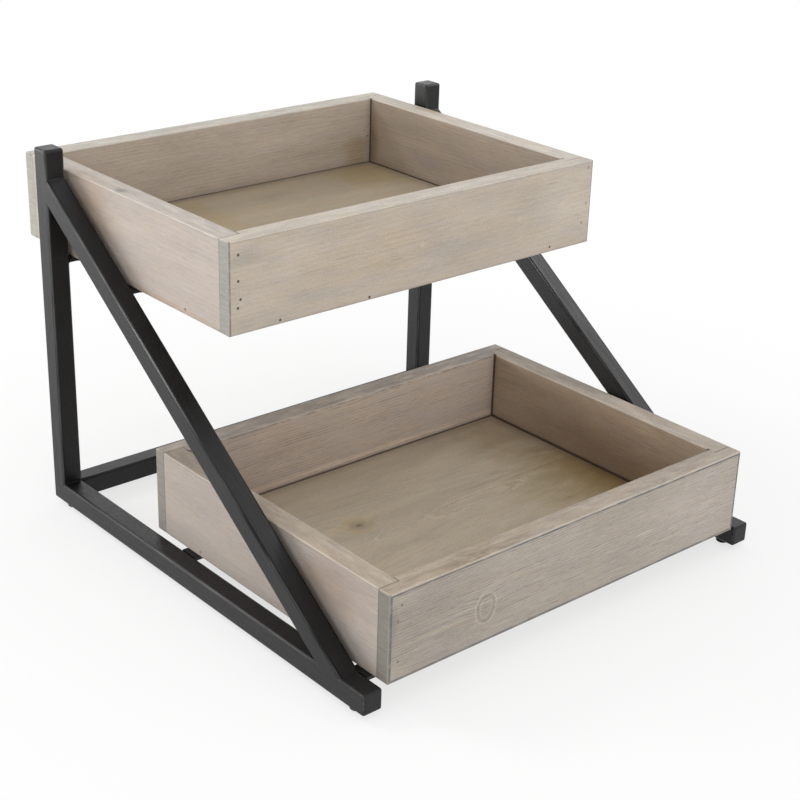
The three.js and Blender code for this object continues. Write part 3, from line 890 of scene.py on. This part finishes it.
# what sets each board apart; places are millimetres from its low corner, along and across the grain
boardDiffers = {
    "upper_front": {
        "rim": (204, 195, 184), "end": (149, 146, 139), "outside": (182, 171, 157), "pith": (150, 40),
        "tilt": (0.03, 0.0), "spacing": 3.4, "rings": 0.08, "clouds": 0.42, "tinting": 0.46, "hair": 0.22,
        "fibre": 0.32, "mottle": 0.42, "scratches": 0.45, "flecks": 0.32,
        "tintPatches": [
            tintPatch("out", (70, 14), (26, 9), (0.92, 0.94, 0.96)),
            tintPatch("out", (255, 48), (30, 10), (0.96, 0.96, 0.95)),
            tintPatch("out", (205, 22), (60, 9), (0.94, 0.955, 0.98)),
            tintPatch("out", (159, 31), (2.6, 3.4), (1.13, 1.12, 1.1)),
            tintPatch("out", (250, 31), (2.6, 2.8), (1.13, 1.12, 1.1)),
            tintPatch("out", (242, 38), (9, 1.2), (1.1, 1.09, 1.07)),
            tintPatch("out", (12, 52), (22, 8), (0.88, 0.9, 0.93)),
            tintPatch("out", (125, 32), (55, 26), (1.03, 0.99, 0.95)),
            tintPatch("out", (300, 34), (40, 34), (1.13, 1.15, 1.16)),
        ],
    },
    "upper_left": {
        "rim": (197, 189, 181), "outside": (173, 162, 153), "pith": (90, 30), "spacing": 3.0,
        "rings": 0.07, "fibre": 0.3, "tinting": 0.3,
        "tintPatches": [
            tintPatch("out", (110, 2), (150, 3.4), (0.94, 0.87, 0.77)),
            tintPatch("out", (160, 40), (46, 36), (0.95, 0.87, 0.79)),
            tintPatch("out", (244, 30), (34, 70), (0.95, 0.95, 0.92)),
            tintPatch("rim", (120, 4), (7, 5), (0.58, 0.6, 0.64)),
        ],
    },
    "upper_back": {
        "rim": (204, 198, 188), "inside": (185, 172, 158), "pith": (-60, 20), "spacing": 2.6,
        "rings": 0.14, "clouds": 0.5, "bands": 0.24, "fibre": 0.44, "mottle": 0.34, "tinting": 0.34,
        "darkLineShare": 0.65, "seamWidth": 0.9,
        "tintPatches": [
            tintPatch("in", (304, 31.5), (1, 1), (0.2, 0.19, 0.18)),
            tintPatch("in", (292, 20), (16, 16), (0.86, 0.8, 0.66)),
            tintPatch("in", (150, 54), (8, 5), (1.12, 1.1, 1.06)),
        ],
    },
    "upper_right": {
        "rim": (210, 201, 189), "inside": (170, 155, 140), "pith": (100, 20), "spacing": 2.8,
        "rings": 0.12, "darkLineShare": 0.9, "seamWidth": 1.1,
        "tintPatches": [
            tintPatch("in", (222, 26), (10, 30), (0.68, 0.64, 0.55)),
            tintPatch("in", (50, 34), (90, 50), (1.06, 1.08, 1.12)),
            tintPatch("in", (150, 26), (36, 12), (0.92, 0.94, 0.99)),
            tintPatch("rim", (168, 12), (26, 5), (0.84, 0.77, 0.63)),
        ],
    },
    "upper_floor": {
        **sheetLook, "outside": (168, 154, 133), "inside": (168, 154, 133), "pith": (110, -22),
        "tilt": (0.04, 0.02), "spacing": 3.2, "rings": 0.06, "fibre": 0.2, "hair": 0.2, "seamShade": 0.28,
        "darkLineShare": 0.6, "seamWidth": 0.9,
        "tintPatches": [
            tintPatch("in", (264, 192), (44, 44), (0.93, 0.88, 0.7)),
            tintPatch("in", (165, 184), (26, 14), (0.88, 0.9, 0.94)),
            tintPatch("in", (100, 170), (16, 50), (1.0, 0.95, 0.82)),
        ],
    },
    "lower_front": {
        "outside": (164, 155, 145), "rim": (176, 163, 148), "end": (125, 120, 112), "pith": (-90, 9),
        "tilt": (0.0, 0.0), "warp": 6, "spacing": 2.0, "rings": 0.34, "mottle": 0.4, "hair": 0.4,
        "fibre": 0.5, "bands": 0.2, "edgeLine": 0.9, "edgeAt": 1.7, "edgeWidth": 0.9,
        "edgeColour": (94, 98, 102), "scratches": 0.5,
        "knots": [
            knot((79.5, 25), (8.5, 10.5), 3.5, 0.2, dark=0.1, shade=0.06, ring=0.3, halo=0.34),
        ],
        "tintPatches": [
            tintPatch("out", (20, 34), (86, 46), (0.86, 0.85, 0.85)),
            tintPatch("out", (45, 23.5), (38, 2), (1.24, 1.2, 1.12)),
            tintPatch("out", (62, 29), (30, 1.2), (1.16, 1.14, 1.1)),
            tintPatch("out", (30, 17), (26, 1.4), (1.14, 1.12, 1.08)),
            tintPatch("out", (3, 42), (4, 22), (0.84, 0.85, 0.86)),
            tintPatch("out", (290, 30), (80, 40), (1.11, 1.11, 1.14)),
            tintPatch("rim", (60, 8), (90, 12), (1.0, 0.97, 0.9)),
            tintPatch("rim", (260, 8), (80, 12), (0.96, 0.98, 1.02)),
        ],
    },
    "lower_left": {
        "outside": (163, 153, 145), "rim": (179, 166, 150), "pith": (-80, 12), "end": (132, 127, 120),
        "spacing": 2.4, "rings": 0.1, "joint": 0.2,
        "tintPatches": [
            tintPatch("out", (45, 44), (40, 24), (0.88, 0.82, 0.77)),
            tintPatch("rim", (200, 8), (60, 12), (0.88, 0.9, 0.94)),
        ],
    },
    "lower_back": {
        "inside": (181, 167, 154), "rim": (189, 180, 175), "end": (132, 127, 120), "pith": (-80, 9),
        # rimShadowLine: a painted shadow line under the rim's inner edge
        "spacing": 2.1, "rings": 0.36, "bands": 0.2, "rimShadowLine": 0.65, "rimWear": 0.42,
        "tintPatches": [
            tintPatch("in", (165, 13.2), (260, 3), (1.4, 1.36, 1.3)),
            tintPatch("in", (50, 34), (110, 44), (0.89, 0.87, 0.87)),
            tintPatch("in", (270, 34), (90, 44), (1.04, 1.04, 1.05)),
            tintPatch("rim", (280, 10), (26, 4), (1.14, 1.14, 1.12)),
        ],
    },
    "lower_right": {
        "inside": (160, 142, 123), "rim": (188, 177, 165), "pith": (-90, 9), "end": (132, 127, 120),
        "spacing": 2.1, "rings": 0.2, "joint": 0.3, "darkLineShare": 0.85, "seamWidth": 2.1, "mottle": 0.4,
        "tintPatches": [
            tintPatch("in", (92, 26), (110, 46), (0.82, 0.78, 0.75)),
            tintPatch("in", (60, 18), (70, 20), (0.95, 0.9, 0.85)),
            # a lighter patch at the rear: painted light against the shade of the upper tray
            tintPatch("in", (206, 30), (44, 44), (1.17, 1.18, 1.19)),
            tintPatch("rim", (60, 12), (40, 6), (0.9, 0.86, 0.8)),
        ],
    },
    "lower_floor": {
        **sheetLook, "outside": (196, 184, 164), "inside": (196, 184, 164), "mottle": 0.5, "clouds": 0.4,
        "tinting": 0.26, "pale": (236, 222, 198), "scratches": 0.1, "specks": 0.2, "bands": 0.06,
        "pith": (120, -25), "tilt": (0.01, -0.09), "warp": 12, "spacing": 3.6, "rings": 0.07,
        "fibre": 0.22, "hair": 0.26, "seamShade": 0.3, "darkLineShare": 0.85, "seamWidth": 1.7,
        "knots": [
            knot((87, 138.2), (10.5, 9.5), 8, 0.26, dark=0.6, shade=0.4,
                 halo=0.5, haloColour=(196, 166, 122), lumps=0.7),
            knot((99, 115), (14, 4.5), 6, 0.2, halo=0.36, lumps=0.7),
            knot((180, 118), (48, 7), 6, 0.2, halo=0.36, lumps=0.7),
        ],
        "tintPatches": [
            tintPatch("in", (292, 84), (104, 92), (0.62, 0.53, 0.35), 0.7),
            tintPatch("in", (298, 74), (40, 52), (0.82, 0.72, 0.6), 0.8),
            tintPatch("in", (284, 188), (78, 72), (0.76, 0.7, 0.64), 0.7),
            tintPatch("in", (84, 142), (19, 15), (1.05, 1.0, 0.92)),
            tintPatch("in", (218, 132.5), (60, 2), (0.85, 0.84, 0.82)),
            tintPatch("in", (245, 127), (40, 1.6), (0.86, 0.85, 0.82)),
            tintPatch("in", (120, 208), (170, 26), (0.9, 0.88, 0.87)),
            tintPatch("in", (80, 14), (110, 46), (0.92, 0.93, 0.96)),
            tintPatch("in", (28, 60), (40, 60), (0.97, 0.96, 0.88)),
        ],
    },
}

# brads in millimetres, from the board's left or front end and from the tray's underside
brads = {
    "upper_front": ((7.4, 53), (7.2, 35.9), (8.8, 23.6), (6.7, 18.2), (39.5, 2.9), (113.3, 2.3),
                    (282.8, 4), (317.9, 57.7), (317.8, 30.7), (314.6, 16.6)),
    "upper_back": ((6.8, 51), (7.9, 30.4), (7.2, 12.5), (315.8, 54), (316.4, 33.2), (315.1, 11.8),
                   (70, 3.2), (190, 3.8), (262, 3)),
    "upper_left": ((39, 4), (170, 3.4)),
    "upper_right": ((44, 3.6), (182, 4.1)),
    "lower_front": ((9.7, 52.8), (6.9, 42.7), (7.6, 14.2)),
    "lower_back": ((7.1, 52), (7.8, 29.6), (6.9, 11), (316.3, 51.4), (315.4, 28.8), (316.9, 13)),
    "lower_left": ((52, 3.5), (188, 3.9)),
    "lower_right": ((47, 3.8), (176, 3.3)),
}


def sliceAlong(bm, axis, low, high):
    normal = Vector((0, 0, 0))
    normal[axis] = 1
    count = round((high[axis] - low[axis]) / boardLook["slice"])
    for k in range(1, count):
        spot = Vector(low)
        spot[axis] += (high[axis] - low[axis]) * k / count
        bmesh.ops.bisect_plane(bm, geom=wholeOf(bm), plane_co=spot, plane_no=normal)


def handSand(bm, low, high, seed):  # the rounding of the edges swells and fades along the board
    limit = boardLook["edgeRadius"] * boardLook["sandReach"]
    slow, quick = boardLook["sandWaves"]
    for v in bm.verts:
        swell = noise.noise(v.co * slow + Vector((seed, 0, 0)))
        swell += 0.5 * noise.noise(v.co * quick + Vector((0, seed, 0)))
        factor = max(boardLook["sandLeast"], 1 + boardLook["sanding"] * swell)
        for axis in range(3):
            fromLow = v.co[axis] - low[axis]
            fromHigh = high[axis] - v.co[axis]
            if fromLow < limit:
                v.co[axis] = low[axis] + fromLow * factor
            elif fromHigh < limit:
                v.co[axis] = high[axis] - fromHigh * factor


def boardOutline(tray, name, low, high):
    if name not in ("front", "back"):
        return boxOutline(low, high)
    leftLow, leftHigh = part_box(f"{tray}_tray_left_board")
    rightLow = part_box(f"{tray}_tray_right_board")[0]
    gap = boardLook["glueGap"]
    outer, inner, cheek = low.y, high.y, leftLow.y - gap
    if name == "back":
        outer, inner, cheek = high.y, low.y, leftHigh.y + gap
    shoulderLeft = leftHigh.x + gap
    shoulderRight = rightLow.x - gap
    return [(low.x, outer), (high.x, outer), (high.x, cheek), (shoulderRight, cheek), (shoulderRight, inner),
            (shoulderLeft, inner), (shoulderLeft, cheek), (low.x, cheek)]


def inJoint(edge, name, outline, low, high):  # edges inside a glued joint stay sharp
    if name == "floor":
        return False
    run = edge.verts[1].co - edge.verts[0].co
    if name in sides:
        return abs(run.y) < (high.y - low.y) / 2
    hidden = [Vector(spot) for spot in outline[2:]]
    ends = [min((v.co.xy - spot).length for spot in hidden) < 1e-6 for v in edge.verts]
    return all(ends) and abs(run.x) < (high.x - low.x) / 2


def seamLines(tray, name, low, high):  # where the dark lines and the painted shade lie: the direction and the place in mm
    floorLow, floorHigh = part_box(f"{tray}_tray_floor_panel")
    if name == "floor":
        size = (high - low) * 1000
        return [("along", 0), ("along", size.x), ("face", 0), ("face", size.y)]
    axis = 1 if name in sides else 0
    corners = ((floorLow[axis] - low[axis]) * 1000, (floorHigh[axis] - low[axis]) * 1000)
    return [("along", corner) for corner in corners] + [("face", (floorHigh.z - low.z) * 1000)]


def bradSpots(tray, name, low, high):  # middle of each brad on the outside face, and the way out
    face, way = (low, -1) if name in ("front", "left") else (high, 1)
    axis = 1 if name in sides else 0
    out = Vector((way, 0, 0) if name in sides else (0, way, 0))
    spots = []
    for run, rise in brads.get(f"{tray}_{name}", ()):
        spot = Vector(face)
        spot[axis] = low[axis] + run / 1000
        spot.z = low.z + rise / 1000
        spots.append((spot, out))
    return spots


def addPeg(bm, spot, out, radius, top, bottom):  # short round peg along the way out, between two depths
    turn = out.to_track_quat("Z", "Y").to_matrix().to_4x4()
    middle = Matrix.Translation(spot - out * (top + bottom) / 2)
    addCone(bm, boardLook["bradSides"], radius, radius, bottom - top, middle @ turn)


def trayBoards(tray, bradSteel):
    made = boardLook
    nails = bmesh.new()
    for seed, name in enumerate(("front", "back", "left", "right", "floor")):
        node = f"{tray}_tray_{name}_" + ("panel" if name == "floor" else "board")
        low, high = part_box(node)
        look = {**woodLook, **boardDiffers[f"{tray}_{name}"]}
        grain = {"floor": "flat", "left": "y", "right": "y"}.get(name, "x")
        look["insideLow"] = name in ("back", "right")
        look["butted"] = name in sides  # ends hidden in the joints
        look["seams"] = seamLines(tray, name, low, high)
        shift = made["seedStep"] * (seed + 1) + (made["seedUpper"] if tray == "upper" else 0)
        wood = woodFinish(f"{tray}_{name}_wood", low, high, grain, look, shift)
        outline = boardOutline(tray, name, low, high)
        bm = prism(outline, low.z, high.z)
        free = [e for e in sharpEdges(bm) if not inJoint(e, name, outline, low, high)]
        radius = made["edgeRadius"] * (made["floorEdge"] if name == "floor" else 1)
        roundEdges(bm, free, radius, made["edgeSegments"])
        sliceAlong(bm, 1 if grain == "y" else 0, low, high)
        handSand(bm, low, high, shift)
        slot = f"{tray}_floor_wood" if name == "floor" else f"{tray}_tray_wood"
        kind = "floor_sheet" if name == "floor" else f"{name}_plank"
        piece = addPiece(f"{tray}_{kind}", bm, wood, slot, (node,))
        spots = bradSpots(tray, name, low, high)
        if spots:
            holes = bmesh.new()
            for spot, out in spots:
                addPeg(holes, spot, out, made["bradHole"], made["bradHoleTop"], made["bradHoleDepth"])
                addPeg(nails, spot, out, made["brad"], made["bradSink"], made["bradHoleDepth"])
            carve(piece, holes)
    addPiece(f"{tray}_brads", nails, bradSteel, "screw_steel")


# stage, light and camera

stageLook = {
    "floorSize": 6.0,
    "floorColour": (248, 248, 248),
    "floorMottle": (240, 240, 240),
    "mottleShare": 0.2,
    "roughness": 0.9,
    "specular": 0.1,
    "whiteFrom": (300, 620),  # mm from the middle, where the floor fades to the backdrop's white
    "glow": 0.7,  # share of that white under the stand
    "worldLevel": 0.86,
}

lampLook = {
    "window": {"at": (-1.45, 1.45, 0.22), "aim": (0, 0, 0.1), "size": (1.3, 0.38), "watts": 20},
    "front": {"at": (-0.3, -2.4, 0.75), "aim": (0, 0, 0.1), "size": (1.8, 1.0), "watts": 12.5},
    "top": {"at": (-1.1, 1.8, 1.75), "aim": (0, 0, 0.1), "size": (0.7, 0.5), "watts": 10.5},
    "sheen": {"at": (0.53, -0.11, 0.6), "aim": (0.17, -0.02, 0.13), "size": (0.55, 0.35), "watts": 2,
              "frameOnly": True},
    "tops": {"at": (0.72, 1.25, 0.76), "aim": (0, 0.1, 0.14), "size": (0.7, 0.35), "watts": 1.6,
             "frameOnly": True},
}

cameraLook = {
    "aim": (0.0121, -0.0106, 0.0914),
    "distance": 1.2027,
    "heading": 41.188,  # degrees from +Y towards +X
    "down": 23.906,
    "roll": 1.765,
    "lens": 74.44,
    "sensor": 36,
}


def stage():
    look = stageLook
    bm = bmesh.new()
    bmesh.ops.create_grid(bm, x_segments=2, y_segments=2, size=look["floorSize"])
    floor = addMesh("floor", bm)
    finish = newFinish("paper_floor")
    x, y, z = finish.place()
    mottle = finish.grain((x, y, z), 0.002)
    colour = finish.mix(mottle * look["mottleShare"], paint(*look["floorColour"]),
                        paint(*look["floorMottle"]))
    paper = finish.shader(Base_Color=colour, Roughness=look["roughness"], Specular_IOR_Level=look["specular"])
    far = finish.step((x * x + y * y).root(), *look["whiteFrom"])
    white = finish.node("ShaderNodeEmission", None, {"Color": (1, 1, 1, 1), "Strength": 1.0})
    share = far * (1 - look["glow"]) + look["glow"]
    mask = finish.seenBy("Camera", "Glossy") * share
    finish.surface(finish.node("ShaderNodeMixShader", None, (mask, paper, white)))
    floor.data.materials.append(finish.owner)

    world = bpy.data.worlds.new("studio")
    bpy.context.scene.world = world
    sky = Finish(world)
    fill, white = [sky.node("ShaderNodeBackground", None, {"Color": (1, 1, 1, 1), "Strength": strength})
                   for strength in (look["worldLevel"], 1)]
    mask = sky.seenBy("Camera", "Glossy", "Transmission")
    sky.surface(sky.node("ShaderNodeMixShader", None, (mask, fill, white)), "ShaderNodeOutputWorld")


def lamps():
    for name, look in lampLook.items():
        data = bpy.data.lights.new(name, "AREA")
        data.shape = "RECTANGLE"
        data.size, data.size_y = look["size"]
        data.energy = look["watts"]
        lamp = addObject(name, data)
        lamp.location = look["at"]
        way = Vector(look["at"]) - Vector(look["aim"])
        lamp.rotation_euler = way.to_track_quat("Z", "Y").to_euler()
        if "frameOnly" in look:
            lit = bpy.data.collections.new(name + "_pieces")
            for piece in tubes:
                lit.objects.link(piece)
            lamp.light_linking.receiver_collection = lit
            lamp.visible_camera = False


def camera():
    look = cameraLook
    heading, down, roll = [math.radians(look[key]) for key in ("heading", "down", "roll")]
    ahead = math.cos(down)
    forward = Vector((math.sin(heading) * ahead, math.cos(heading) * ahead, -math.sin(down)))
    level = forward.cross(Vector((0, 0, 1))).normalized()
    upright = level.cross(forward)
    right = level * math.cos(roll) + upright * math.sin(roll)
    up = upright * math.cos(roll) - level * math.sin(roll)
    data = bpy.data.cameras.new("camera")
    data.lens = look["lens"]
    data.sensor_width = look["sensor"]
    eye = addObject("camera", data)
    turn = Matrix((right, up, -forward)).transposed().to_4x4()
    eye.matrix_world = Matrix.Translation(Vector(look["aim"]) - forward * look["distance"]) @ turn
    bpy.context.scene.camera = eye


coat = powderCoat("frame_coat", coatLook, "side")
crossCoat = powderCoat("cross_coat", coatLook, "across")
for side in sides:
    sideFrame(side, coat)
crossRail(crossCoat)
strapWelds(crossCoat)
print("frame dressed")

feet(rubber("foot_rubber"))
screws(darkSteel("screw"))
print("feet and screws made")

for tray in trays:
    trayBoards(tray, darkSteel(tray + "_brad"))
print("trays made")

stage()
lamps()
camera()
bpy.context.scene.view_settings.view_transform = "Standard"
print("stage set")
